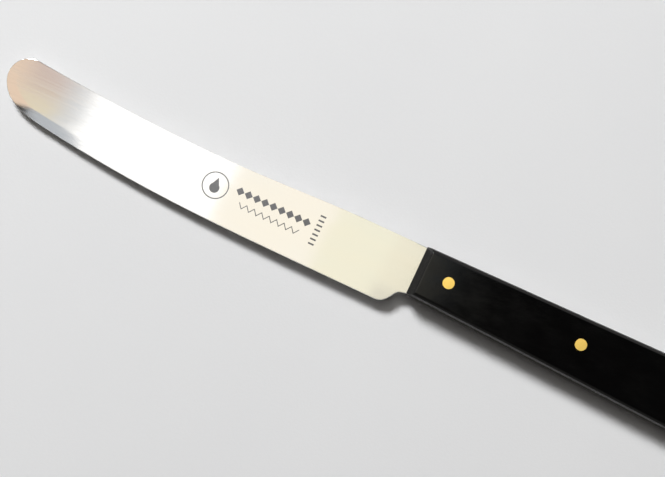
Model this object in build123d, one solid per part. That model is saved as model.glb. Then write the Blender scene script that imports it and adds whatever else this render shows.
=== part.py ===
from build123d import *
import os

# A round-nosed, full-tang ink knife for spreading and scraping printing ink.
# One flat steel plate is both blade and tang. Two plastic scales lie on the tang
# and three brass pins, flared at both ends, hold the handle together.
#
# While it is drawn, X runs along the knife with zero at the handle's front and the
# blade towards -X, Y is zero on the line of the pins with the back towards +Y, and
# Z is zero on the lower scale's flat face. All lengths are in millimetres.

# Blade, seen from the side
blade_length = 120.5            # handle front to the far end of the nose
back_height = 6.45              # back above the pin line, at the handle
back_straight_length = 15.0     # straight stretch of the back next to the handle
back_dip = 1.15                 # how far the back sinks along its hollow stretch
back_dip_place = 57.5           # handle front to the lowest point of the back
nose_rise = 1.55                # top of the nose above the back's height at the handle
nose_radius = 5.8
nose_start = 85.0               # degrees from the knife's line where the back meets the nose
nose_end = 202.0                # degrees from the knife's line where the nose meets the belly
edge_depth = 11.5               # cutting edge below the pin line
belly_bend = 16.5               # far end of the nose to the place where the belly's curve eases
belly_bend_lift = 3.8           # height of that place above the cutting edge
belly_bend_angle = 7.5          # degrees between the belly and the cutting edge there
belly_length = 95.0             # far end of the nose to the straight cutting edge
curve_pull = 0.37               # length of each curve's handles, as a share of its chord
heel_gap = 4.9                  # handle front to the heel's corner
heel_angle = 57.0               # degrees between the cutting edge and the heel's slope
heel_radius = 4.0
notch_drop = 0.5                # notch's corner below the handle's lower front corner
notch_radius = 2.0

# Blade, seen from the edge
tang_thickness = 1.2
nose_thickness = 0.75           # of the plate at the far end of the nose, before grinding
edge_thickness = 0.35           # of the ground plate at the cutting edge
grind_line = 3.0                # above the pin line, where the grinding starts

# Handle
handle_length = 95.0
handle_front_depth = 6.8        # lower front corner below the pin line
handle_top_rise = 1.15          # how much higher the top edge is at the butt
handle_flare = 4.2              # how much deeper the lower edge is at the butt
butt_bulge = 1.6                # how far the butt's middle stands out behind its corners
butt_corner_radius = 4.0
scale_thickness = 4.2
edge_rounding = 1.2             # along the scales' long edges and round the butt
front_bevel_run = 1.9           # slope at the scales' front, along the knife
front_bevel_height = 2.8        # the same slope, across the knife's thickness
bevel_rounding = 0.5            # where the slope meets the scale's flat face

# Pins
pin_names = ("rivet_front", "rivet_middle", "rivet_rear")
pin_front_setback = 8.8         # handle front to the first pin
pin_rear_setback = 12.2         # last pin to the end of the butt
pin_radius = 1.25
pin_flare = 0.3                 # how much wider each end is than the shank, on the radius
pin_flare_depth = 0.6
pin_clearance = 0.02            # between each pin and its hole, on the radius

# Heights that follow from the sizes above
tang_bottom = scale_thickness
tang_middle = scale_thickness + tang_thickness / 2
tang_top = scale_thickness + tang_thickness
handle_thickness = 2 * scale_thickness + tang_thickness
spare = 1.0                     # how far a cutting shape reaches past what it cuts


def handle_face():
    """Side outline of the tang and of both scales."""
    front_top = (0, back_height)
    front_bottom = (0, -handle_front_depth)
    corner_x = handle_length - butt_bulge
    butt_top = (corner_x, back_height + handle_top_rise)
    butt_bottom = (corner_x, -handle_front_depth - handle_flare)
    butt_middle = (handle_length, (butt_top[1] + butt_bottom[1]) / 2)
    with BuildSketch() as outline:
        with BuildLine():
            Line(front_bottom, front_top)
            Line(front_top, butt_top)
            ThreePointArc(butt_top, butt_middle, butt_bottom)
            Line(butt_bottom, front_bottom)
        make_face()
        corners = outline.vertices().group_by(Axis.X)[-1]
        fillet(corners, butt_corner_radius)
    return outline.sketch


def soft_curve(start, start_direction, end, end_direction):
    """Cubic curve between two points that leaves and arrives in the given directions."""
    arm = curve_pull * (end - start).length
    return Bezier(start, start + start_direction * arm, end - end_direction * arm, end)


def blade_face():
    """Side outline of the blade, from the handle's front to the nose."""
    towards_nose = Vector(-1, 0)
    towards_butt = Vector(1, 0)
    nose_top = back_height + nose_rise
    nose_centre = Vector(-blade_length + nose_radius, nose_top - nose_radius)
    back_start = Vector(0, back_height)
    back_bend = Vector(-back_straight_length, back_height)
    back_low = Vector(-back_dip_place, back_height - back_dip)
    belly_place = Vector(-blade_length + belly_bend, belly_bend_lift - edge_depth)
    belly_direction = towards_butt.rotate(Axis.Z, -belly_bend_angle)
    edge_start = Vector(-blade_length + belly_length, -edge_depth)
    heel_corner = Vector(-heel_gap, -edge_depth)
    heel_slope = towards_butt.rotate(Axis.Z, heel_angle)
    notch_depth = handle_front_depth + notch_drop
    notch_corner = heel_corner + heel_slope * ((edge_depth - notch_depth) / heel_slope.Y)
    front_bottom = Vector(0, -handle_front_depth)
    with BuildSketch() as outline:
        with BuildLine():
            nose = CenterArc(nose_centre, nose_radius, nose_start, nose_end - nose_start)
            Line(back_start, back_bend)
            soft_curve(back_bend, towards_nose, back_low, towards_nose)
            soft_curve(back_low, towards_nose, nose @ 0, nose % 0)
            soft_curve(nose @ 1, nose % 1, belly_place, belly_direction)
            soft_curve(belly_place, belly_direction, edge_start, towards_butt)
            Polyline(edge_start, heel_corner, notch_corner, front_bottom, back_start)
        make_face()
        heel = outline.vertices().sort_by_distance((heel_corner.X, heel_corner.Y, 0))[0]
        fillet(heel, heel_radius)
        notch = outline.vertices().sort_by_distance((notch_corner.X, notch_corner.Y, 0))[0]
        fillet(notch, notch_radius)
    return outline.sketch


def thinning_wedge():
    """Plate that gets evenly thinner from the handle's front to the nose."""
    root_half = tang_thickness / 2
    nose_half = nose_thickness / 2
    past_nose = spare * (root_half - nose_half) / blade_length
    with BuildSketch(Plane.XZ) as profile:
        with BuildLine():
            Polyline(
                (0, tang_middle - root_half),
                (0, tang_middle + root_half),
                (-blade_length - spare, tang_middle + nose_half - past_nose),
                (-blade_length - spare, tang_middle - nose_half + past_nose),
                close=True,
            )
        make_face()
    return extrude(profile.sketch, back_height + nose_rise + edge_depth, both=True)


def grinding_wedge():
    """Plate that gets evenly thinner from the grind line down to the cutting edge."""
    full_half = tang_thickness / 2
    edge_half = edge_thickness / 2
    top = back_height + nose_rise + spare
    past_edge = spare * (full_half - edge_half) / (grind_line + edge_depth)
    with BuildSketch(Plane.YZ) as profile:
        with BuildLine():
            Polyline(
                (top, tang_middle - full_half),
                (top, tang_middle + full_half),
                (grind_line, tang_middle + full_half),
                (-edge_depth - spare, tang_middle + edge_half - past_edge),
                (-edge_depth - spare, tang_middle - edge_half + past_edge),
                (grind_line, tang_middle - full_half),
                close=True,
            )
        make_face()
    return extrude(profile.sketch, -blade_length - spare)


def make_blade():
    """Blade and tang in one piece, thinned towards the cutting edge and the nose."""
    tang = extrude(handle_face().moved(Location((0, 0, tang_bottom))), tang_thickness)
    blank = extrude(blade_face(), handle_thickness)
    blade = tang + (blank & thinning_wedge() & grinding_wedge())
    for hole in pin_places():
        blade -= hole * Cylinder(pin_radius + pin_clearance, tang_thickness + 2 * spare)
    return blade


def make_scale():
    """Upper scale, with its flat inner face on the tang and its pin holes flared."""
    scale = extrude(handle_face().moved(Location((0, 0, tang_top))), scale_thickness)
    outer_face = scale.faces().sort_by(Axis.Z)[-1]
    front_edge = outer_face.edges().sort_by(Axis.X)[0]
    scale = chamfer(front_edge, front_bevel_run, front_bevel_height, reference=outer_face)
    outer_face = scale.faces().sort_by(Axis.Z)[-1]
    bevel_edge = outer_face.edges().sort_by(Axis.X)[0]
    scale = fillet(bevel_edge, bevel_rounding)
    outer_face = scale.faces().sort_by(Axis.Z)[-1]
    long_edges = outer_face.edges().sort_by(Axis.X)[1:]
    scale = fillet(long_edges, edge_rounding)
    for hole in pin_places():
        scale -= hole * pin_solid(pin_clearance)
    return scale


def pin_places():
    """Centres of the pins on the knife's middle plane, evenly spaced along the handle."""
    row_length = handle_length - pin_front_setback - pin_rear_setback
    pitch = row_length / (len(pin_names) - 1)
    along = [pin_front_setback + number * pitch for number in range(len(pin_names))]
    return [Pos(x, 0, handle_thickness / 2) for x in along]


def pin_solid(clearance):
    """Headless pin with both ends flared, centred on the origin and grown by a clearance."""
    half = handle_thickness / 2
    shank = pin_radius + clearance
    head = shank + pin_flare
    with BuildSketch(Plane.XZ) as section:
        with BuildLine():
            Polyline(
                (0, -half),
                (head, -half),
                (shank, -half + pin_flare_depth),
                (shank, half - pin_flare_depth),
                (head, half),
                (0, half),
                close=True,
            )
        make_face()
    return revolve(section.sketch, Axis.Z)


def build_knife():
    """Every piece of the knife by its node name."""
    upper_scale = make_scale()
    middle_plane = Plane.XY.offset(handle_thickness / 2)
    pieces = {
        "blade": make_blade(),
        "upper_scale": upper_scale,
        "lower_scale": mirror(upper_scale, about=middle_plane),
    }
    for name, place in zip(pin_names, pin_places()):
        pieces[name] = place * pin_solid(0)
    return pieces


# The finished knife stands on the middle of its own footprint: X along its length with
# the butt towards +X, the back towards +Y, and the lower scale's flat face at Z zero.
pieces = build_knife()
extent = Compound(list(pieces.values())).bounding_box()
to_footprint = Location((-extent.center().X, -extent.center().Y, -extent.min.Z))
os.makedirs("parts", exist_ok=True)
for name, piece in pieces.items():
    placed = piece.moved(to_footprint)
    placed.label = name
    export_step(placed, os.path.join("parts", name + ".step"))
    print(name, "volume", round(placed.volume, 2))
print("overall size", extent.size)
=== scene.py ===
# %% [markdown]
# # A round-nosed ink knife, piece by piece
# An ink knife mixes, spreads and scrapes stiff printing ink on a slab. This one is a
# single flat steel plate, ground thin in front and left full behind. Two black plastic
# scales lie on the full part, and three brass pins go through everything.
# The lesson starts by loading the engineering model. It fixes every size and place, so
# each finished piece is drawn from it and stands where the plain one stood.

# %% Load the frame
import math
import bmesh
import bpy
from mathutils import Matrix, Vector


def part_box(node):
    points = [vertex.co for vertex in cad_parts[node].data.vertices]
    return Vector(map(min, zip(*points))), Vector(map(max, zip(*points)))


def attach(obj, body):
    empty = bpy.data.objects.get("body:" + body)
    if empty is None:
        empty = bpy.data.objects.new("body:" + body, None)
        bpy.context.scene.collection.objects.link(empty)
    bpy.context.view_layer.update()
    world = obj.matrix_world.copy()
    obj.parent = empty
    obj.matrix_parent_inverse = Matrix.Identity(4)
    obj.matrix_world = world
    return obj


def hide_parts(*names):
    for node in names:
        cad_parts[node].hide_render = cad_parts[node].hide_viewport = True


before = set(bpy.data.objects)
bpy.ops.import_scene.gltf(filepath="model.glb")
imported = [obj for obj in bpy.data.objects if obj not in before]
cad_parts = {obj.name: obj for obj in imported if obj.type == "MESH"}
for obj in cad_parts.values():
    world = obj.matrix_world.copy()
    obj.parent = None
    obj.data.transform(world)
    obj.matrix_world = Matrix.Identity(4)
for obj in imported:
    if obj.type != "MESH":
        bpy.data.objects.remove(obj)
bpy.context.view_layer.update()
print("nodes in the frame:", sorted(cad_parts))

# %% [markdown]
# ## Where everything is
# The named places below all come from the boxes of the fixed nodes. The knife lies on
# its side: X runs from the nose to the butt, Y from the cutting edge to the back, and
# Z up through the thickness. The pins sit on one straight line, and every height across
# the knife is measured from that line.

# %% Places on the knife
MM = 0.001               # one millimetre in metres
plate_low, plate_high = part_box("blade")
scale_low, scale_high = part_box("upper_scale")
PIN_NODES = ("rivet_front", "rivet_middle", "rivet_rear")
pin_boxes = [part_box(name) for name in PIN_NODES]
pin_centres = [(low + high) / 2 for low, high in pin_boxes]
PIN_RADIUS = (pin_boxes[0][1].x - pin_boxes[0][0].x) / 2
NOSE_X = plate_low.x
FRONT_X = scale_low.x
BUTT_X = scale_high.x
EDGE_Y = plate_low.y
NOSE_TOP_Y = plate_high.y
PIN_Y = pin_centres[0].y
TANG_TOP = plate_high.z
TANG_BOTTOM = plate_low.z
MIDDLE_Z = (TANG_TOP + TANG_BOTTOM) / 2
TOP_Z = scale_high.z
print("blade is", round((FRONT_X - NOSE_X) / MM, 1), "mm long")
print("handle is", round((BUTT_X - FRONT_X) / MM, 1), "mm long")

# %% [markdown]
# ## Outline of the plate
# The smith cuts the plate to one outline: a back that sinks a little and rises again,
# a round nose, a belly that runs out into a straight cutting edge, a rounded heel, a
# small notch, and the handle. Each stretch is a line, an arc or a cubic curve that
# leaves its neighbour without a corner, so a few sizes say all of it.

# %% Small curves to draw with
CURVE_PULL = 0.37        # handle length of a soft curve, as a share of its chord
CURVE_STEPS = 40         # pieces of every arc and curve


def arc(centre, radius, start, end):
    """Points on an arc between two angles in radians."""
    turns = [start + (end - start) * step / CURVE_STEPS for step in range(CURVE_STEPS + 1)]
    return [centre + Vector((math.cos(turn), math.sin(turn))) * radius for turn in turns]


def soft_curve(start, leave, end, arrive):
    """Points on a cubic curve that leaves and arrives in the given directions."""
    arm = CURVE_PULL * (end - start).length
    controls = (start, start + leave * arm, end - arrive * arm, end)
    points = []
    for step in range(CURVE_STEPS + 1):
        t = step / CURVE_STEPS
        weights = ((1 - t) ** 3, 3 * t * (1 - t) ** 2, 3 * t ** 2 * (1 - t), t ** 3)
        points.append(sum((c * w for c, w in zip(controls, weights)), Vector((0, 0))))
    return points


def rounded_corner(corner, before, after, radius):
    """Arc that takes the corner off two straight lines that run towards it."""
    come = (before - corner).normalized()
    leave = (after - corner).normalized()
    half = come.angle(leave) / 2
    centre = corner + (come + leave).normalized() * (radius / math.sin(half))
    first = corner + come * (radius / math.tan(half)) - centre
    last = corner + leave * (radius / math.tan(half)) - centre
    start = math.atan2(first.y, first.x)
    sweep = first.angle_signed(last)
    return arc(centre, radius, start, start - sweep)


print("each arc and curve has", CURVE_STEPS + 1, "points")

# %% Sizes of the outline, across from the pin line
BACK_Y = PIN_Y + 6.45 * MM
BACK_STRAIGHT = 15 * MM
BACK_DIP = 1.15 * MM
BACK_DIP_PLACE = 57.5 * MM
NOSE_RADIUS = 5.8 * MM
NOSE_START = math.radians(85)
NOSE_END = math.radians(202)
BELLY_BEND = 16.5 * MM
BELLY_BEND_LIFT = 3.8 * MM
BELLY_BEND_ANGLE = math.radians(7.5)
BELLY_LENGTH = 95 * MM
HEEL_GAP = 4.9 * MM
HEEL_ANGLE = math.radians(57)
HEEL_RADIUS = 4 * MM
NOTCH_DROP = 0.5 * MM
NOTCH_RADIUS = 2 * MM
HANDLE_DEPTH = 6.8 * MM
HANDLE_RISE = 1.15 * MM
HANDLE_FLARE = 4.2 * MM
BUTT_BULGE = 1.6 * MM
BUTT_ROUNDING = 4 * MM
print("the back lies", round((BACK_Y - PIN_Y) / MM, 2), "mm above the pin line")

# %% Lower and upper line of the blade, from the nose to the handle
towards_nose = Vector((-1, 0))
towards_butt = Vector((1, 0))
nose_centre = Vector((NOSE_X + NOSE_RADIUS, NOSE_TOP_Y - NOSE_RADIUS))
nose_point = math.pi     # the end of the nose, straight ahead of its centre


def round_direction(turn):
    """Direction of travel round the nose, from the back towards the belly."""
    return Vector((-math.sin(turn), math.cos(turn)))


back_start = Vector((FRONT_X, BACK_Y))
back_bend = Vector((FRONT_X - BACK_STRAIGHT, BACK_Y))
back_low = Vector((FRONT_X - BACK_DIP_PLACE, BACK_Y - BACK_DIP))
nose_top = arc(nose_centre, NOSE_RADIUS, NOSE_START, nose_point)
nose_low = arc(nose_centre, NOSE_RADIUS, nose_point, NOSE_END)
belly_place = Vector((NOSE_X + BELLY_BEND, EDGE_Y + BELLY_BEND_LIFT))
belly_way = Vector((math.cos(BELLY_BEND_ANGLE), -math.sin(BELLY_BEND_ANGLE)))
edge_start = Vector((NOSE_X + BELLY_LENGTH, EDGE_Y))
front_bottom = Vector((FRONT_X, PIN_Y - HANDLE_DEPTH))
heel_corner = Vector((FRONT_X - HEEL_GAP, EDGE_Y))
notch_y = front_bottom.y - NOTCH_DROP
notch_corner = heel_corner + Vector(((notch_y - EDGE_Y) / math.tan(HEEL_ANGLE), notch_y - EDGE_Y))

back_line = [back_start]
back_line += soft_curve(back_bend, towards_nose, back_low, towards_nose)
back_line += soft_curve(back_low, towards_nose, nose_top[0], round_direction(NOSE_START))
back_line += nose_top
back_line.reverse()
edge_line = nose_low + soft_curve(nose_low[-1], round_direction(NOSE_END), belly_place, belly_way)
edge_line += soft_curve(belly_place, belly_way, edge_start, towards_butt)
edge_line += rounded_corner(heel_corner, edge_start, notch_corner, HEEL_RADIUS)
edge_line += rounded_corner(notch_corner, heel_corner, front_bottom, NOTCH_RADIUS)
edge_line += [front_bottom]
print("blade outline:", len(back_line), "points on the back,", len(edge_line), "on the edge")

# %% Lower and upper line of the handle, from its front to the butt
butt_top = Vector((BUTT_X - BUTT_BULGE, BACK_Y + HANDLE_RISE))
butt_bottom = Vector((BUTT_X - BUTT_BULGE, front_bottom.y - HANDLE_FLARE))
butt_half = (butt_top.y - butt_bottom.y) / 2
butt_radius = (butt_half ** 2 + BUTT_BULGE ** 2) / (2 * BUTT_BULGE)
butt_centre = Vector((BUTT_X - butt_radius, (butt_top.y + butt_bottom.y) / 2))


def handle_side(start, corner, out):
    """One long side of the handle, its rounded corner and half of the bulging butt."""
    run = (corner - start).normalized()
    inwards = Vector((-run.y, run.x)) * -out
    on_line = start + inwards * BUTT_ROUNDING - butt_centre
    along = -on_line.dot(run)
    gap = on_line.length_squared - (butt_radius - BUTT_ROUNDING) ** 2
    centre = butt_centre + on_line + run * (along + math.sqrt(along ** 2 - gap))
    first = -inwards
    last = centre - butt_centre
    start_turn = math.atan2(first.y, first.x)
    end_turn = math.atan2(last.y, last.x)
    corner_arc = arc(centre, BUTT_ROUNDING, start_turn, end_turn)
    return [start] + corner_arc + arc(butt_centre, butt_radius, end_turn, 0)


handle_top = handle_side(back_start, butt_top, 1)
handle_bottom = handle_side(front_bottom, butt_bottom, -1)
print("handle is", round((back_start.y - front_bottom.y) / MM, 1), "mm deep in front")

# %% [markdown]
# ## From outline to a fine net
# Steel and plastic both start as flat blanks. A blank could be one big face cut to the
# outline, but its shading would be poor once it is ground. A net of columns and rows is
# better: each column crosses the knife at one place, and the rows crowd together near
# the outline, where all the rounding happens. The columns crowd together where the
# outline turns fast, at the nose and at the butt.

# %% Places of rows and columns
ROWS = 64
row_shares = [(1 - math.cos(math.pi * row / ROWS)) / 2 for row in range(ROWS + 1)]


def even(start, end, count):
    """Evenly spaced places, without the last."""
    return [start + (end - start) * step / count for step in range(count)]


def eased(start, end, count):
    """Places that crowd together at the start, without the last."""
    shares = [1 - math.cos(math.pi / 2 * step / count) for step in range(count)]
    return [start + (end - start) * share for share in shares]


def until_butt(start, count):
    """Places from a start to the butt that crowd together at the butt, with the last."""
    return [start] + [BUTT_X + start - place for place in eased(start, BUTT_X, count)][::-1]


print("rows are", round(row_shares[1], 4), "of a column apart at the outline")

# %% Flat net between two lines
SHORTEST_COLUMN = 1e-7   # metres; a shorter column is a single point


def height_at(line, x):
    """Y of a line that runs from low X to high X, at one X."""
    for first, second in zip(line, line[1:]):
        if x <= second.x:
            break
    run = second.x - first.x
    share = (x - first.x) / run if run > 0 else 1
    return first.y + (second.y - first.y) * min(max(share, 0), 1)


def blank(name, lower, upper, columns):
    """Flat net between two lines, at the knife's middle plane."""
    net = bmesh.new()
    lines = []
    for x in columns:
        low = height_at(lower, x)
        high = height_at(upper, x)
        shares = row_shares if high - low > SHORTEST_COLUMN else [0.5]
        lines.append([net.verts.new((x, low + (high - low) * share, 0)) for share in shares])
    for here, there in zip(lines, lines[1:]):
        for row in range(ROWS):
            corners = [here[min(row, len(here) - 1)], there[min(row, len(there) - 1)]]
            corners += [there[min(row + 1, len(there) - 1)], here[min(row + 1, len(here) - 1)]]
            net.faces.new(list(dict.fromkeys(corners)))
    mesh = bpy.data.meshes.new(name)
    net.to_mesh(mesh)
    net.free()
    piece = bpy.data.objects.new(name, mesh)
    bpy.context.scene.collection.objects.link(piece)
    print(name, "net:", len(mesh.polygons), "faces")
    return piece


# %% Net of the plate
NOSE_STRETCH = 12 * MM
HEEL_STRETCH = 9 * MM
BUTT_STRETCH = 8 * MM
TIP_GAP = 4              # columns left out beside the tip, where rows would nearly touch
plate_columns = [NOSE_X] + eased(NOSE_X, NOSE_X + NOSE_STRETCH, 110)[TIP_GAP + 1:]
plate_columns += even(NOSE_X + NOSE_STRETCH, FRONT_X - HEEL_STRETCH, 100)
plate_columns += even(FRONT_X - HEEL_STRETCH, FRONT_X, 60)
plate_columns += even(FRONT_X, BUTT_X - BUTT_STRETCH, 40)
plate_columns += until_butt(BUTT_X - BUTT_STRETCH, 30)
plate = blank("ink_knife_plate", edge_line + handle_bottom, back_line + handle_top, plate_columns)

# %% [markdown]
# ## A helper for node trees
# Grinding rules and finishes are both node trees, and both are mostly arithmetic. They
# could be written as long lists of nodes and links. Wrapping a socket in a small class
# is easier to read, because a rule then looks like the formula that it is. Everything
# that isn't arithmetic goes through one method, `add`.

# %% Arithmetic on sockets
class Wire:
    """An output socket that can be used in Python arithmetic."""

    def __init__(self, bench, socket):
        self.bench = bench
        self.socket = socket

    def __add__(self, other):
        return self.bench.math("ADD", self, other)

    def __radd__(self, other):
        return self.bench.math("ADD", other, self)

    def __sub__(self, other):
        return self.bench.math("SUBTRACT", self, other)

    def __rsub__(self, other):
        return self.bench.math("SUBTRACT", other, self)

    def __mul__(self, other):
        return self.bench.math("MULTIPLY", self, other)

    def __rmul__(self, other):
        return self.bench.math("MULTIPLY", other, self)

    def __truediv__(self, other):
        return self.bench.math("DIVIDE", self, other)

    def __rtruediv__(self, other):
        return self.bench.math("DIVIDE", other, self)

    def __pow__(self, other):
        return self.bench.math("POWER", self, other)

    def __rpow__(self, other):
        return self.bench.math("POWER", other, self)

    def output(self, name):
        """Another output of the same node."""
        return Wire(self.bench, self.socket.node.outputs[name])


# %% A bench to add nodes on
class Bench:
    """Adds nodes to one tree."""

    def __init__(self, tree):
        self.tree = tree
        tree.nodes.clear()

    def add(self, kind, settings=None, inputs=None, output=0):
        """One node: its settings first, then values or wires for its inputs."""
        node = self.tree.nodes.new(kind)
        for name, value in (settings or {}).items():
            setattr(node, name, value)
        for name, value in (inputs or {}).items():
            if isinstance(value, Wire):
                self.tree.links.new(value.socket, node.inputs[name])
            else:
                node.inputs[name].default_value = value
        return Wire(self, node.outputs[output]) if len(node.outputs) else node

    def math(self, operation, *items):
        """One step of arithmetic on numbers."""
        return self.add("ShaderNodeMath", {"operation": operation}, dict(enumerate(items)))

    def vector(self, operation, *items):
        """One step of arithmetic on vectors."""
        return self.add("ShaderNodeVectorMath", {"operation": operation}, dict(enumerate(items)))

    def clamp(self, value):
        """The value, kept between 0 and 1."""
        return self.math("MINIMUM", self.math("MAXIMUM", value, 0.0), 1.0)

    def smooth_step(self, share):
        """A share from 0 to 1 that starts and ends gently."""
        return share * share * (3 - share * 2)

    def blend(self, share, first, second):
        """Mix two colours by a share from 0 to 1."""
        return self.add("ShaderNodeMix", {"data_type": "RGBA"}, {0: share, 6: first, 7: second}, 2)

    def split(self, vector):
        """The three numbers of a vector."""
        parts = self.add("ShaderNodeSeparateXYZ", inputs={0: vector})
        return parts, parts.output("Y"), parts.output("Z")


# %% [markdown]
# ## Shaping by rule
# A grinder thins the plate towards the nose and towards the cutting edge, and breaks
# every sharp rim. A buffer rounds the scales in the same way. All of it depends only on
# where a point is and how far it is from the outline, so Geometry Nodes can do it: the
# tree measures that distance, works out a height, moves copies of the net to it, and
# closes them along the rim. The named inputs are the grinder's settings.

# %% A tree with named sizes
def geometry_bench(name, sizes):
    """A new geometry tree with a mesh input and named sizes, ready to be filled."""
    tree = bpy.data.node_groups.new(name, "GeometryNodeTree")
    tree.interface.new_socket("Geometry", in_out="OUTPUT", socket_type="NodeSocketGeometry")
    tree.interface.new_socket("Geometry", in_out="INPUT", socket_type="NodeSocketGeometry")
    for size in sizes:
        tree.interface.new_socket(size, in_out="INPUT", socket_type="NodeSocketFloat")
    bench = Bench(tree)
    entry = bench.add("NodeGroupInput")
    return bench, entry, {size: entry.output(size) for size in sizes}


def run_tree(piece, tree, sizes):
    """Applies a tree to a piece with its sizes set, and leaves a plain mesh."""
    modifier = piece.modifiers.new(tree.name, "NODES")
    modifier.node_group = tree
    for item in tree.interface.items_tree:
        if item.in_out == "INPUT" and item.name in sizes:
            modifier[item.identifier] = sizes[item.name]
    bpy.context.view_layer.update()
    shaped_piece = piece.evaluated_get(bpy.context.evaluated_depsgraph_get())
    shaped = bpy.data.meshes.new_from_object(shaped_piece)
    piece.modifiers.clear()
    piece.data = shaped
    shaped.name = piece.name
    print(piece.name, "has", len(shaped.vertices), "points and", len(shaped.polygons), "faces")
    return piece


# %% Rims, sheets and closed skins
WELD_DISTANCE = 1e-7     # metres


def open_rim(bench):
    """True for the edges that have a face on one side only."""
    sides = bench.add("GeometryNodeInputMeshEdgeNeighbors")
    settings = {"data_type": "INT", "operation": "EQUAL"}
    return bench.add("FunctionNodeCompare", settings, {2: sides, 3: 1})


def outline_distance(bench, net, chosen=True):
    """Distance from each point of a flat net to the chosen part of its open rim."""
    both = {0: open_rim(bench), 1: chosen}
    wanted = bench.add("FunctionNodeBooleanMath", {"operation": "AND"}, both)
    rim = bench.add("GeometryNodeSeparateGeometry", {"domain": "EDGE"}, {0: net, 1: wanted})
    return bench.add("GeometryNodeProximity", {"target_element": "EDGES"}, {0: rim}, "Distance")


def closed_shell(bench, *sheets):
    """Sheets joined into one closed skin."""
    joined = bench.add("GeometryNodeJoinGeometry")
    for sheet in sheets:
        bench.tree.links.new(sheet.socket, joined.socket.node.inputs[0])
    return bench.add("GeometryNodeMergeByDistance", inputs={0: joined, "Distance": WELD_DISTANCE})


def sheet_at(bench, net, height, flipped=False):
    """The net with every point moved to a height, turned over if it faces down."""
    sheet = bench.add("GeometryNodeFlipFaces", inputs={0: net}) if flipped else net
    x, y, _ = bench.split(bench.add("GeometryNodeInputPosition"))
    place = bench.add("ShaderNodeCombineXYZ", inputs={0: x, 1: y, 2: height})
    return bench.add("GeometryNodeSetPosition", inputs={0: sheet, "Position": place})


# %% The end of every tree
def finish_tree(bench, geometry, material, crease):
    """Creases steeper than an angle kept sharp, the rest smooth; then the finish."""
    angle = bench.add("GeometryNodeInputMeshEdgeAngle")
    steep = bench.math("GREATER_THAN", angle, math.radians(crease))
    smooth = bench.add("GeometryNodeSetShadeSmooth", {"domain": "FACE"}, {0: geometry, 2: True})
    smooth = bench.add("GeometryNodeSetShadeSmooth", {"domain": "EDGE"}, {0: smooth, 1: steep, 2: False})
    real = bench.add("GeometryNodeRealizeInstances", inputs={0: smooth})
    dressed = bench.add("GeometryNodeSetMaterial", inputs={0: real, "Material": material})
    bench.add("NodeGroupOutput", inputs={0: dressed})


# %% [markdown]
# ## Finishes
# A tree names the finish of its piece, so the finishes come before the pieces. Each one
# is noise of a few sizes, stretched along the way that the real surface was worked. The
# same noise drives colour, roughness and a very shallow bump, as one scratch does.

# %% Finish helpers
def finish(name, **plain):
    """A new material: its bench, its main shader node and the surface position in mm."""
    material = bpy.data.materials.new(name)
    material.use_nodes = True
    bench = Bench(material.node_tree)
    shader = bench.add("ShaderNodeBsdfPrincipled", inputs=plain)
    bench.add("ShaderNodeOutputMaterial", inputs={"Surface": shader})
    place = bench.add("ShaderNodeTexCoord", output="Object")
    spot = bench.vector("MULTIPLY", place, (1 / MM, 1 / MM, 1 / MM))
    return material, bench, shader.socket.node, spot


def feed(bench, shader, name, wire):
    """Links a wire to one input of the main shader."""
    bench.tree.links.new(wire.socket, shader.inputs[name])


def grain(bench, spot, lumps, detail):
    """Noise from 0 to 1, with a number of lumps per millimetre along X, Y and Z."""
    scaled = bench.vector("MULTIPLY", spot, lumps)
    inputs = {"Vector": scaled, "Scale": 1.0, "Detail": detail, "Roughness": 0.6}
    return bench.add("ShaderNodeTexNoise", {"noise_dimensions": "3D"}, inputs)


def bump(bench, height, depth):
    """Bump of a height from 0 to 1 over a real depth in metres."""
    inputs = {"Height": height, "Distance": depth, "Strength": 1.0}
    return bench.add("ShaderNodeBump", inputs=inputs)


# %% [markdown]
# **The etched mark.** Knives of this kind carry a grey mark, etched through a stencil
# with acid, in the polished steel. This one is made up for the lesson: a ring with a
# drop of ink, a row of lozenges, a zigzag and a column of short bars. It could be cut
# into the mesh, but an etch is only a few thousandths of a millimetre deep. So it is a
# mask in the finish, and each figure is the distance to a simple shape, which stays
# sharp at any size.

# %% Places of the mark, in millimetres from the handle's front and the pin line
MARK_LINE = 0.14         # half the width of a fine etched line
ZIGZAG_LINE = 0.182
BAR_LINE = 0.224
MARK_SOFTNESS = 0.09
RING_X = -57.2
RING_Y = -2.2
RING_RADIUS = 3.5
DROP_SINK = 0.7          # how far the drop's ball sits below the ring's middle
DROP_RADIUS = 1.35
DROP_LENGTH = 2.9
BAND_START = -51.7
BAND_END = -30.1
BAND_Y = -0.9
BAND_PITCH = 2.4
LOZENGE_HALF = 1.15
WAVE_Y = -4.3
WAVE_START = -49.5
WAVE_PITCH = 2.16
WAVE_COUNT = 8
WAVE_HALF = 0.7
COLUMN_X = -27.9
COLUMN_START = -6.2
COLUMN_PITCH = 1.3
COLUMN_COUNT = 7
BAR_HALF = 0.8
print("the mark runs over", round(COLUMN_X - RING_X + RING_RADIUS + BAR_HALF, 1), "mm of the blade")


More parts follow.
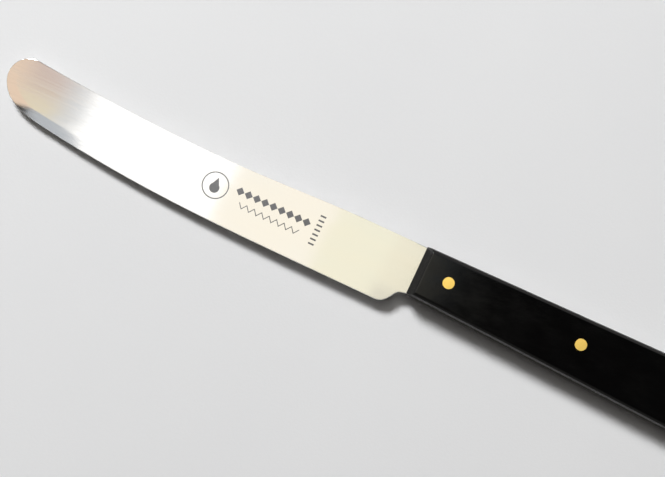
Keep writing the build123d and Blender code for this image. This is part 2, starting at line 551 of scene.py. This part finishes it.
# %% Mask of the mark
def etched_mark(bench, spot):
    """Mask from 0 to 1 of a ring with an ink drop, lozenges, a zigzag and a column of bars."""
    x, y, z = bench.split(spot)
    along = x - FRONT_X / MM
    up = y - PIN_Y / MM

    def inside(margin):
        """1 where a margin in millimetres is positive, with a soft rim."""
        return bench.clamp(margin / MARK_SOFTNESS + 0.5)

    def saw(value, pitch):
        """Distance in millimetres from the middle of the nearest repeat."""
        return bench.math("ABSOLUTE", bench.math("FRACT", value / pitch) - 0.5) * pitch

    ring_x = along - RING_X
    ring_y = up - RING_Y
    out = bench.math("SQRT", ring_x ** 2 + ring_y ** 2)
    ring = inside(MARK_LINE - bench.math("ABSOLUTE", out - RING_RADIUS))
    drop_y = ring_y + DROP_SINK
    ball = inside(DROP_RADIUS - bench.math("SQRT", ring_x ** 2 + drop_y ** 2))
    taper = (DROP_LENGTH - drop_y) * (DROP_RADIUS / DROP_LENGTH) - bench.math("ABSOLUTE", ring_x)
    drop = bench.math("MAXIMUM", ball, inside(taper) * inside(drop_y))
    band = inside(along - BAND_START) * inside(BAND_END - along)
    off_middle = saw(along - BAND_START, BAND_PITCH) + bench.math("ABSOLUTE", up - BAND_Y)
    lozenges = inside(LOZENGE_HALF - off_middle) * band
    stretch = inside(along - WAVE_START) * inside(WAVE_START + WAVE_COUNT * WAVE_PITCH - along)
    ridge = saw(along - WAVE_START, WAVE_PITCH) * (4 * WAVE_HALF / WAVE_PITCH) - WAVE_HALF
    zigzag = inside(ZIGZAG_LINE - bench.math("ABSOLUTE", up - WAVE_Y - ridge)) * stretch
    rows = up - COLUMN_START
    height = inside(rows) * inside(COLUMN_COUNT * COLUMN_PITCH - rows)
    bar = inside(BAR_HALF - bench.math("ABSOLUTE", along - COLUMN_X))
    bars = inside(BAR_LINE - saw(rows, COLUMN_PITCH)) * bar * height
    upper_side = bench.math("GREATER_THAN", z, MIDDLE_Z / MM)
    badge = bench.math("MAXIMUM", ring, drop)
    rest = bench.math("MAXIMUM", bench.math("MAXIMUM", lozenges, zigzag), bars)
    return bench.math("MAXIMUM", badge, rest) * upper_side


# %% [markdown]
# **Steel.** The blade is polished lengthwise on a felt wheel. Up close that leaves fine
# lines that run from heel to nose, some a little duller than others, and slow waves of
# tone. The front half does the work on the ink slab, so its lines are the deepest, and
# they fade towards the handle. Stretched noise makes the lines, and a share along the
# blade weakens them, which is simpler than drawing scratches one by one.

# %% Polished steel
WARM_STEEL = (0.80, 0.775, 0.735, 1)
COOL_STEEL = (0.76, 0.765, 0.76, 1)
RUBBED_STEEL = (0.68, 0.675, 0.66, 1)
ETCHED_STEEL = (0.10, 0.10, 0.105, 1)
ETCHED_ROUGHNESS = 0.42
WORK_START = 35          # millimetres ahead of the handle, where the working stretch begins
WORK_EASE = 50           # millimetres until it is fully worked
IDLE_SHARE = 0.3         # strength of the lines beside the handle
steel, bench, shader, spot = finish("polished_steel", Metallic=1.0, IOR=2.5)
hairlines = grain(bench, spot, (0.02, 9.0, 2.0), detail=4.0)
strokes = grain(bench, spot, (0.035, 2.0, 1.0), detail=3.0)
waves = grain(bench, spot, (0.045, 0.12, 0.1), detail=1.0)
specks = grain(bench, spot, (1.3, 1.7, 1.3), detail=2.0)
mark = etched_mark(bench, spot)
x, _, _ = bench.split(spot)
ahead = bench.clamp((FRONT_X / MM - WORK_START - x) / WORK_EASE)
worked = IDLE_SHARE + ahead * (1 - IDLE_SHARE)
stencil = grain(bench, spot, (6.0, 6.0, 6.0), detail=2.0)
tint = bench.blend(waves, WARM_STEEL, COOL_STEEL)
rubbed = bench.clamp((strokes - 0.45) * 1.6) * worked
tint = bench.blend(rubbed * 0.25, tint, RUBBED_STEEL)
tint = bench.blend(mark * (0.80 + stencil * 0.25), tint, ETCHED_STEEL)
feed(bench, shader, "Base Color", tint)
polish = 0.045 + bench.clamp(strokes - 0.40) * worked * 0.16
polish = polish + bench.clamp(hairlines - 0.45) * 0.12
polish = polish + bench.clamp(specks - 0.62) * 0.25
feed(bench, shader, "Roughness", bench.math("MAXIMUM", polish, mark * ETCHED_ROUGHNESS))
relief = (hairlines * 0.5 + strokes * 0.5) * worked - mark * 1.2
feed(bench, shader, "Normal", bump(bench, relief, 0.0025 * MM))
print("steel finish has", len(bench.tree.nodes), "nodes")

# %% [markdown]
# **Black plastic.** The scales are ground flush and buffed, so they shine, but never
# evenly. Buffing leaves faint streaks along the handle, handling leaves duller clouds,
# and small nicks show a little paler. Each of those is one noise, and most of it goes
# into the roughness, because on black it is the shine that tells the eye about wear.

# %% Buffed black plastic
DEEP_BLACK = (0.0008, 0.0008, 0.0009, 1)
CLOUDED_BLACK = (0.0020, 0.0019, 0.0019, 1)
NICKED_BLACK = (0.035, 0.034, 0.034, 1)
plastic, bench, shader, spot = finish("buffed_black_plastic", Metallic=0.0, IOR=1.49)
clouds = grain(bench, spot, (0.11, 0.2, 0.2), detail=3.0)
buffing = grain(bench, spot, (0.25, 7.0, 3.0), detail=4.0)
nicks = grain(bench, spot, (2.4, 2.4, 2.4), detail=2.0)
peel = grain(bench, spot, (0.9, 0.9, 0.9), detail=2.0)
shade = bench.blend(clouds, DEEP_BLACK, CLOUDED_BLACK)
shade = bench.blend(bench.clamp((nicks - 0.72) * 6.0) * 0.5, shade, NICKED_BLACK)
feed(bench, shader, "Base Color", shade)
dull = 0.10 + bench.clamp(clouds - 0.4) * 0.22 + bench.clamp(buffing - 0.5) * 0.2
feed(bench, shader, "Roughness", dull + bench.clamp(nicks - 0.66) * 0.5)
feed(bench, shader, "Normal", bump(bench, peel * 0.7 + buffing * 0.3, 0.004 * MM))
print("plastic finish has", len(bench.tree.nodes), "nodes")

# %% [markdown]
# **Brass.** The pin ends are sanded flush together with the plastic, so their faces are
# satin rather than bright, with short straight scratches along the handle and patches
# that have tarnished a little. One stretched noise and one even noise make both.

# %% Sanded brass
BRIGHT_BRASS = (0.925, 0.66, 0.17, 1)
DULL_BRASS = (0.85, 0.605, 0.152, 1)
SCRATCHED_BRASS = (0.60, 0.36, 0.09, 1)
brass, bench, shader, spot = finish("sanded_brass", Metallic=1.0)
scratches = grain(bench, spot, (0.7, 11.0, 2.0), detail=3.0)
patches = grain(bench, spot, (1.1, 1.1, 0.6), detail=2.0)
gold = bench.blend(patches, BRIGHT_BRASS, DULL_BRASS)
gold = bench.blend(bench.clamp(scratches - 0.55), gold, SCRATCHED_BRASS)
feed(bench, shader, "Base Color", gold)
feed(bench, shader, "Roughness", 0.54 + bench.clamp(scratches - 0.35) * 0.2)
feed(bench, shader, "Normal", bump(bench, scratches, 0.004 * MM))
print("brass finish has", len(bench.tree.nodes), "nodes")

# %% [markdown]
# ## The pins
# A pin is a plain brass rod. Its ends are hammered until they fill the flared mouths of
# the hole, and are then sanded down to a very slight dome, a hair below the plastic.
# Three equal pins in a row are a job for instances: one cylinder, pulled to the pin's
# shape by a rule, and set on the points of a line.

# %% Pin tree
END_SINK = 0.01 * MM     # each pin end below the face of its scale
PIN_SIZES = {
    "First X": pin_centres[0].x,
    "Pitch": pin_centres[1].x - pin_centres[0].x,
    "Shank radius": 1.25 * MM,
    "End radius": PIN_RADIUS,
    "Half length": TOP_Z / 2 - END_SINK,
    "Flare depth": 0.6 * MM,
    "Crown": 0.02 * MM,
}
PIN_SEGMENTS = 64
PIN_STEPS = 40           # rings along each pin
PIN_RINGS = 8            # rings across each end


def pin_tree():
    """Tree that shapes one pin and sets a copy of it on each place."""
    bench, _, size = geometry_bench("Set pins", PIN_SIZES)
    row = bench.add("GeometryNodeMeshLine", {"mode": "OFFSET"}, {"Count": len(PIN_NODES)})
    start = bench.add("ShaderNodeCombineXYZ", inputs={0: size["First X"], 1: PIN_Y, 2: TOP_Z / 2})
    step = bench.add("ShaderNodeCombineXYZ", inputs={0: size["Pitch"]})
    line = row.socket.node
    bench.tree.links.new(start.socket, line.inputs["Start Location"])
    bench.tree.links.new(step.socket, line.inputs["Offset"])
    settings = {"fill_type": "TRIANGLE_FAN"}
    sizes = {"Vertices": PIN_SEGMENTS, "Side Segments": PIN_STEPS, "Fill Segments": PIN_RINGS,
             "Radius": size["End radius"], "Depth": size["Half length"] * 2}
    pin = bench.add("GeometryNodeMeshCylinder", settings, sizes, "Mesh")
    x, y, z = bench.split(bench.add("GeometryNodeInputPosition"))
    far = bench.math("SQRT", x ** 2 + y ** 2)
    past_flare = bench.math("ABSOLUTE", z) - size["Half length"] + size["Flare depth"]
    end_share = bench.clamp(past_flare / size["Flare depth"])
    waist = size["Shank radius"] / size["End radius"]
    narrow = waist + end_share * (1 - waist)
    dome = size["Crown"] * (far / size["End radius"]) ** 2
    flat_end = bench.math("GREATER_THAN", end_share, 0.999)
    rounded = z - bench.math("SIGN", z) * dome * flat_end
    place = bench.add("ShaderNodeCombineXYZ", inputs={0: x * narrow, 1: y * narrow, 2: rounded})
    shaped = bench.add("GeometryNodeSetPosition", inputs={0: pin, "Position": place})
    pins = bench.add("GeometryNodeInstanceOnPoints", inputs={0: row, "Instance": shaped})
    finish_tree(bench, pins, brass, crease=50)
    return bench.tree


pins = bpy.data.objects.new("flush_pins", bpy.data.meshes.new("flush_pins"))
bpy.context.scene.collection.objects.link(pins)
pins_tree = pin_tree()
pins = run_tree(pins, pins_tree, PIN_SIZES)

# %% [markdown]
# **The holes.** The plate and both scales are clamped together and drilled in one go,
# so the three holes always line up. The drill here is the same tree as the pins, a
# little fatter and longer. It is cut from each piece inside the piece's own tree,
# before the shading is set, so the flat faces stay clean round the holes.

# %% Drill for the holes
CLEARANCE = 0.02 * MM
drill_sizes = dict(PIN_SIZES)
drill_sizes["Shank radius"] += CLEARANCE
drill_sizes["End radius"] += CLEARANCE
drill_sizes["Half length"] += CLEARANCE
drill_sizes["Crown"] = 0.0
drill = bpy.data.objects.new("drill", bpy.data.meshes.new("drill"))
bpy.context.scene.collection.objects.link(drill)
drill = run_tree(drill, pins_tree, drill_sizes)


def drilled(bench, geometry):
    """The geometry with the three pin holes cut through it."""
    settings = {"transform_space": "ORIGINAL"}
    tool = bench.add("GeometryNodeObjectInfo", settings, {"Object": drill}, "Geometry")
    settings = {"operation": "DIFFERENCE", "solver": "EXACT"}
    meshes = {"Mesh 1": geometry, "Mesh 2": tool}
    return bench.add("GeometryNodeMeshBoolean", settings, meshes, "Mesh")


# %% [markdown]
# ## The blade and tang
# Half the plate's thickness is the smaller of two rules, as on a grinder with two
# settings: an even taper from the handle's front to the nose, and a flat grind from a
# line near the back down to the cutting edge. The flat grind runs out just under the
# scales, so no step shows. Near the nose the honed bevel along the belly is wide enough
# to see, so a third rule cuts it. Last, a quarter round takes the sharpness off the rim.

# %% Settings of the grinder
GRIND_SIZES = {
    "Full half": (TANG_TOP - TANG_BOTTOM) / 2,
    "Nose half": 0.375 * MM,
    "Edge half": 0.175 * MM,
    "Grind line": PIN_Y + 3 * MM,
    "Rim rounding": 0.09 * MM,
    "Bevel width": 2.6 * MM,
    "Bevel drop": 0.10 * MM,
    "Waviness": 0.004 * MM,
}
WAVES_PER_METRE = 60.0
PLUNGE = 1.5 * MM        # how far under the scales the flat grind runs out
GRIND_MELT = 0.05 * MM   # blends the taper into the flat grind
HONED_LENGTH = 55 * MM   # honed bevel along the knife, from the end of the nose
HONED_FADE = 40 * MM     # the part of that length over which it dies away
HONED_TOP = 5 * MM       # the bevel begins this far below the top of the nose
HONED_RAMP = 5 * MM
print("plate is", round((TANG_TOP - TANG_BOTTOM) / MM, 2), "mm thick at the tang")


# %% Grinding tree
def grinding_tree():
    """Tree that turns the flat plate net into the ground blade with its full tang."""
    bench, net, size = geometry_bench("Grind plate", GRIND_SIZES)
    near = outline_distance(bench, net)
    x, y, _ = bench.split(bench.add("GeometryNodeInputPosition"))
    ahead = bench.clamp((FRONT_X - x) / (FRONT_X - NOSE_X))
    taper = size["Full half"] - ahead * (size["Full half"] - size["Nose half"])
    below = bench.clamp((size["Grind line"] - y) / (size["Grind line"] - EDGE_Y))
    plunge = bench.clamp((FRONT_X + PLUNGE - x) / PLUNGE)
    cut = below * bench.smooth_step(plunge)
    ground = size["Full half"] - cut * (size["Full half"] - size["Edge half"])
    half = bench.math("SMOOTH_MIN", taper, ground, GRIND_MELT)
    facet = bench.clamp(1 - near / size["Bevel width"])
    nose_share = bench.clamp((NOSE_X + HONED_LENGTH - x) / HONED_FADE)
    belly_share = bench.clamp((NOSE_TOP_Y - HONED_TOP - y) / HONED_RAMP)
    half = half - facet * nose_share * belly_share * size["Bevel drop"]
    swell = bench.add("ShaderNodeTexNoise", inputs={"Scale": WAVES_PER_METRE, "Detail": 1.0})
    half = half + (swell - 0.5) * size["Waviness"]
    depth = bench.clamp(near / size["Rim rounding"])
    round_off = bench.math("SQRT", depth * (2 - depth))
    half = bench.math("MINIMUM", half, size["Full half"]) * round_off
    top = sheet_at(bench, net, half + MIDDLE_Z)
    under = sheet_at(bench, net, MIDDLE_Z - half, flipped=True)
    finish_tree(bench, drilled(bench, closed_shell(bench, top, under)), steel, crease=35)
    return bench.tree


plate = run_tree(plate, grinding_tree(), GRIND_SIZES)

# %% [markdown]
# ## The scales
# A scale is thicker than its rounding, so it gets a wall: the dressed top sheet drops
# straight down at the outline to a flat underside. Its top follows two rules again,
# a quarter round from the long edges and the butt, and a steep slope at the front,
# joined with a smooth minimum, the way buffing melts one face into the next. A bevel
# modifier could round the edges too, but it couldn't leave the front edge of the scale
# sharp against the blade and round the others by rule.

# %% Net of the upper scale
FRONT_STRETCH = 3 * MM
scale_columns = even(FRONT_X, FRONT_X + FRONT_STRETCH, 40)
scale_columns += even(FRONT_X + FRONT_STRETCH, BUTT_X - BUTT_STRETCH, 70)
scale_columns += until_butt(BUTT_X - BUTT_STRETCH, 36)
upper = blank("upper_scale_dressed", handle_bottom, handle_top, scale_columns)

# %% Settings of the buffer
SCALE_SIZES = {
    "Thickness": TOP_Z - TANG_TOP,
    "Edge rounding": 1.2 * MM,
    "Front land": 1.4 * MM,
    "Slope run": 1.9 * MM,
    "Slope rise": 2.8 * MM,
    "Melting": 0.45 * MM,
    "Waviness": 0.006 * MM,
}
FRONT_EDGE = 0.01 * MM   # rim edges nearer the front than this aren't rounded
print("each scale is", round(SCALE_SIZES["Thickness"] / MM, 2), "mm thick")


# %% Dressing tree
def dressing_tree():
    """Tree that turns the flat handle net into one dressed scale lying on the tang."""
    bench, net, size = geometry_bench("Dress scale", SCALE_SIZES)
    x, y, _ = bench.split(bench.add("GeometryNodeInputPosition"))
    behind_front = bench.math("GREATER_THAN", x, FRONT_X + FRONT_EDGE)
    near = outline_distance(bench, net, behind_front)
    rounding = size["Edge rounding"]
    depth = bench.clamp(near / rounding)
    side = size["Thickness"] - rounding + rounding * bench.math("SQRT", depth * (2 - depth))
    slope = size["Front land"] + (x - FRONT_X) * size["Slope rise"] / size["Slope run"]
    height = bench.math("SMOOTH_MIN", side, slope, size["Melting"])
    swell = bench.add("ShaderNodeTexNoise", inputs={"Scale": WAVES_PER_METRE, "Detail": 1.0})
    height = bench.math("MINIMUM", height - swell * size["Waviness"], size["Thickness"])
    top = sheet_at(bench, net, height + TANG_TOP)
    rim = open_rim(bench)
    wall = bench.add("GeometryNodeExtrudeMesh", {"mode": "EDGES"},
                     {0: top, "Selection": rim, "Offset Scale": 0.0}, "Mesh")
    x, y, _ = bench.split(bench.add("GeometryNodeInputPosition"))
    foot = bench.add("ShaderNodeCombineXYZ", inputs={0: x, 1: y, 2: TANG_TOP})
    shell = bench.add("GeometryNodeSetPosition",
                      inputs={0: wall, "Selection": wall.output("Top"), "Position": foot})
    under = sheet_at(bench, net, TANG_TOP, flipped=True)
    finish_tree(bench, drilled(bench, closed_shell(bench, shell, under)), plastic, crease=40)
    return bench.tree


upper = run_tree(upper, dressing_tree(), SCALE_SIZES)

# %% [markdown]
# **The lower scale.** Scales are made in pairs, as left and right of one another. The
# lower one is a copy of the upper, mirrored through the plate's middle. Mirroring turns
# a skin inside out, so its faces are flipped afterwards.

# %% Lower scale
lower = upper.copy()
lower.data = upper.data.copy()
lower.name = "lower_scale_dressed"
bpy.context.scene.collection.objects.link(lower)
mirror = Matrix.Translation((0, 0, 2 * MIDDLE_Z)) @ Matrix.Diagonal((1, 1, -1, 1))
lower.data.transform(mirror)
lower.data.flip_normals()
lowest = min(vertex.co.z for vertex in lower.data.vertices)
print("lower scale begins", round(lowest / MM, 3), "mm above the surface it lies on")

# %% [markdown]
# ## Riding on the frame
# The knife is one rigid body, so every piece rides on `root`, stands in for its fixed
# node, and names the material slot that it belongs to.

# %% Pieces and their nodes
bpy.data.objects.remove(drill)    # its work is done, and it is no part of the knife
for piece, slot, nodes in (
    (plate, "steel", ("blade",)),
    (upper, "black_plastic", ("upper_scale",)),
    (lower, "black_plastic", ("lower_scale",)),
    (pins, "brass", PIN_NODES),
):
    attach(piece, "root")
    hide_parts(*nodes)
    print(piece.name, "stands for", ", ".join(nodes))

# %% [markdown]
# ## Surface, light and camera
# The knife lies on a large sheet of matt, pale paper. The sheet isn't perfectly flat: it
# rises by a hair towards the nose, as paper does, which shortens the shadow there. Its
# far parts glow a little, so that it stays pale all the way out, as in a studio with
# many lamps, without a lamp for every corner.

# %% Finish of the paper
PALE_PAPER = (0.79, 0.79, 0.795, 1)
PALER_PAPER = (0.82, 0.82, 0.82, 1)
FIBRE_GREY = (0.72, 0.72, 0.73, 1)
BLACK = (0, 0, 0, 1)
WHITE = (1, 1, 1, 1)
GLOW_START = 200.0       # millimetres from the knife's middle
GLOW_REACH = 800.0
paper, bench, shader, spot = finish("matt_paper", Roughness=0.75, IOR=1.4)
fibres = grain(bench, spot, (1.6, 1.6, 1.6), detail=5.0)
mottle = grain(bench, spot, (0.02, 0.02, 0.02), detail=2.0)
pale = bench.blend(mottle, PALE_PAPER, PALER_PAPER)
pale = bench.blend(bench.clamp(fibres - 0.4) * 0.25, pale, FIBRE_GREY)
feed(bench, shader, "Base Color", pale)
feed(bench, shader, "Normal", bump(bench, fibres, 0.03 * MM))
far = bench.vector("LENGTH", spot).output("Value")
glow = bench.smooth_step(bench.clamp((far - GLOW_START) / GLOW_REACH))
feed(bench, shader, "Emission Color", bench.blend(glow, BLACK, WHITE))
shader.inputs["Emission Strength"].default_value = 0.55
print("paper finish has", len(bench.tree.nodes), "nodes")

# %% Sheet of paper
PAPER_HALF = 10.0        # metres
CURVED_HALF = 0.15       # metres; the stretch with close columns
PAPER_STEPS = 150
RISE = 1.7 * MM
RISE_GAP = 5 * MM        # handle's front to the start of the rise
RISE_LENGTH = 120 * MM


def paper_height(x):
    """Height of the sheet: flat under the handle, a little higher under the nose."""
    share = min(max((FRONT_X - RISE_GAP - x) / RISE_LENGTH, 0), 1)
    return RISE * share * share * (3 - 2 * share)


def paper_sheet():
    """Sheet with columns close together where it rises."""
    columns = [-PAPER_HALF] + even(-CURVED_HALF, CURVED_HALF, PAPER_STEPS)
    columns += [CURVED_HALF, PAPER_HALF]
    sides = (-PAPER_HALF, PAPER_HALF)
    net = bmesh.new()
    pairs = [[net.verts.new((x, side, paper_height(x))) for side in sides] for x in columns]
    for (a, b), (c, d) in zip(pairs, pairs[1:]):
        net.faces.new((a, c, d, b)).smooth = True
    mesh = bpy.data.meshes.new("paper_sheet")
    net.to_mesh(mesh)
    net.free()
    mesh.materials.append(paper)
    sheet = bpy.data.objects.new("paper_sheet", mesh)
    bpy.context.scene.collection.objects.link(sheet)
    return sheet


paper_sheet()
print("paper rises", round(paper_height(NOSE_X) / MM, 2), "mm under the nose")

# %% [markdown]
# **Lamps.** A bench by a window has one strong light and a white room round it. Two
# square panels stand for them: a small one from the left and behind, which draws the
# shadow, and a wide one overhead that softens it. The wide one is hidden from shiny
# surfaces, because the cards of the next step decide what the steel shows.

# %% Lamps
def panel(name, place, size, power, colour, aim):
    """A rectangular light panel that faces a point on the knife."""
    lamp = bpy.data.lights.new(name, "AREA")
    lamp.shape = "RECTANGLE"
    lamp.size, lamp.size_y = size
    lamp.energy = power
    lamp.color = colour
    thing = bpy.data.objects.new(name, lamp)
    thing.location = place
    thing.rotation_euler = (Vector(place) - Vector(aim)).to_track_quat("Z", "Y").to_euler()
    thing.visible_camera = False
    bpy.context.scene.collection.objects.link(thing)
    return thing


HEEL = Vector((FRONT_X, 0, MIDDLE_Z))
LAMP_DISTANCE = 1.5
KEY_WAY = Vector((-0.58, 0.50, 1.0)).normalized()
KEY_SIZE = (0.34, 0.34)
KEY_POWER = 20.6
SOFT_WAY = Vector((-0.20, 0.32, 1.0)).normalized()
SOFT_SIZE = (0.95, 0.95)
SOFT_POWER = 3.8
key_place = HEEL + KEY_WAY * LAMP_DISTANCE
panel("key_light", key_place, KEY_SIZE, KEY_POWER, (0.99, 1.0, 1.01), HEEL)
soft_place = HEEL + SOFT_WAY * LAMP_DISTANCE
soft_key = panel("soft_key", soft_place, SOFT_SIZE, SOFT_POWER, (1.0, 0.97, 0.94), HEEL)
soft_key.visible_glossy = False
print("key light stands at", [round(value, 2) for value in key_place])

# %% [markdown]
# ** Cards overhead.** Polished steel shows only what is above it, so a plain room gives
# a plain grey blade. A table of glowing cards at one metre is what a jeweller hangs
# over a spoon: the middle of the blade sees the bright ones, the stretch by the handle
# the cream ones, and the end of the nose the duller tan, straw and slate ones. They
# light nothing but reflections, so their brightness can be set one by one.

# %% Cards overhead
ROOM_HEIGHT = 1.0
reflections = []


def glowing(name, place, size, brightness, colour, aim):
    """A panel of a wanted brightness that shows in shiny surfaces alone."""
    power = brightness * math.pi * size[0] * size[1]
    card = panel(name, place, size, power, colour, aim)
    card.visible_diffuse = False
    reflections.append(card)


overhead = (
    # name, from x, to x, from y, to y, brightness, colour
    ("bright_panel", -0.360, -0.200, -0.16, 0.16, 1.50, (1.0, 1.0, 1.0)),
    ("cream_panel", -0.200, -0.090, -0.16, 0.16, 1.22, (1.0, 0.95, 0.84)),
    ("warm_panel", -0.090, -0.025, -0.16, 0.16, 1.12, (1.0, 0.97, 0.79)),
    ("root_panel", -0.025, 0.016, -0.005, 0.16, 1.08, (1.0, 0.95, 0.77)),
    ("heel_panel", -0.025, 0.016, -0.16, -0.005, 0.89, (1.0, 0.95, 0.80)),
    ("cool_panel", 0.016, 0.040, 0.06, 0.16, 0.48, (0.72, 0.86, 1.0)),
    ("cool_strip", -0.050, 0.060, 0.20, 0.60, 0.50, (0.90, 0.96, 1.0)),
    ("tan_card", -0.430, -0.386, 0.088, 0.16, 0.73, (1.0, 0.80, 0.73)),
    ("straw_card", -0.430, -0.386, -0.030, 0.088, 0.90, (1.0, 0.90, 0.69)),
    ("pearl_card", -0.386, -0.360, -0.030, 0.16, 0.82, (0.95, 0.97, 1.0)),
    ("slate_card", -0.430, -0.360, -0.16, -0.030, 0.65, (0.86, 0.92, 1.0)),
    ("amber_card", -0.560, -0.430, -0.05, 0.16, 0.96, (1.0, 0.78, 0.61)),
)
for name, x0, x1, y0, y1, brightness, colour in overhead:
    place = Vector(((x0 + x1) / 2, (y0 + y1) / 2, ROOM_HEIGHT))
    below = place * Vector((1, 1, 0))
    glowing(name, place, (x1 - x0, y1 - y0), brightness, colour, below)
print(len(reflections), "cards hang over the knife")

# %% [markdown]
# **Walls.** Seen from low down, the blade mirrors the far side of the room instead of
# the cards. Eight tall pale walls in a ring keep it from going black there. The ones on
# the side of the knife's back are a little brighter, like the side with the window.

# %% Ring of walls
WALLS = 8
WALL_DISTANCE = 1.5
WALL_FOOT = 0.1
WALL_HEIGHT = 2.4
WALL_PALENESS = 0.38
WALL_CONTRAST = 0.18
WALL_COLOUR = (1.0, 0.98, 0.94)
wall_size = (2 * WALL_DISTANCE * math.tan(math.pi / WALLS), WALL_HEIGHT)
for number in range(WALLS):
    way = 2 * math.pi * number / WALLS
    place = Vector((math.cos(way), math.sin(way), 0)) * WALL_DISTANCE
    place.z = WALL_HEIGHT / 2 + WALL_FOOT
    brightness = WALL_PALENESS + WALL_CONTRAST * math.sin(way)
    aim = Vector((0, 0, place.z))
    glowing(f"wall_{number}", place, wall_size, brightness, WALL_COLOUR, aim)
print(len(reflections), "panels show in the steel altogether")

# %% [markdown]
# **The room behind it all.** Between the cards the plastic and the steel see the room,
# which is nearly dark overhead and a little paler near the horizon. That keeps the
# scales deep black and gives their rounded edges a faint warm line.

# %% Dark ceiling, paler horizon
HORIZON_BRIGHTNESS = 0.07
CEILING_BRIGHTNESS = 0.02
ROOM_COLOUR = (1.0, 0.94, 0.88, 1)
world = bpy.data.worlds.new("studio")
world.use_nodes = True
bench = Bench(world.node_tree)
_, _, rise = bench.split(bench.add("ShaderNodeTexCoord", output="Generated"))
brightness = HORIZON_BRIGHTNESS + (CEILING_BRIGHTNESS - HORIZON_BRIGHTNESS) * bench.clamp(rise)
air = bench.add("ShaderNodeBackground", inputs={"Color": ROOM_COLOUR, "Strength": brightness})
bench.add("ShaderNodeOutputWorld", inputs={"Surface": air})
bpy.context.scene.world = world
bpy.context.scene.view_settings.view_transform = "Standard"
print("room has", len(bench.tree.nodes), "nodes")

# %% [markdown]
# **Camera.** The camera looks almost straight down on the blade, six degrees off the
# vertical, so the faces show their true outline and a little of the edge below. The
# knife runs down to the right in the frame, and the butt is left outside it.

# %% Camera
CAMERA_DISTANCE = 0.3656
CAMERA_TILT = math.radians(6.0)      # off the vertical
CAMERA_SIDE = math.radians(-47.8)    # the side it leans to, round from +X
KNIFE_SLOPE = math.radians(-25.0)    # of the knife in the frame
VIEW_AHEAD = 23.4 * MM   # point that the camera aims at, ahead of the handle's front
VIEW_BELOW = 1.85 * MM   # the same point, below the pin line
view_point = Vector((FRONT_X - VIEW_AHEAD, PIN_Y - VIEW_BELOW, MIDDLE_Z))
sideways = Vector((math.cos(CAMERA_SIDE), math.sin(CAMERA_SIDE), 0))
back = sideways * math.sin(CAMERA_TILT) + Vector((0, 0, math.cos(CAMERA_TILT)))
level = (towards_butt.to_3d() - back * back.x).normalized()
right = Matrix.Rotation(-KNIFE_SLOPE, 3, back) @ level
up = back.cross(right)
turn = Matrix((right, up, back)).transposed()
camera_data = bpy.data.cameras.new("bench_camera")
camera_data.sensor_width = 36
camera_data.lens = 75.8
camera_data.clip_start = 0.01
camera = bpy.data.objects.new("bench_camera", camera_data)
camera.matrix_world = Matrix.Translation(view_point + back * CAMERA_DISTANCE) @ turn.to_4x4()
bpy.context.scene.collection.objects.link(camera)
bpy.context.scene.camera = camera
print("camera at", tuple(round(value, 4) for value in camera.matrix_world.translation))
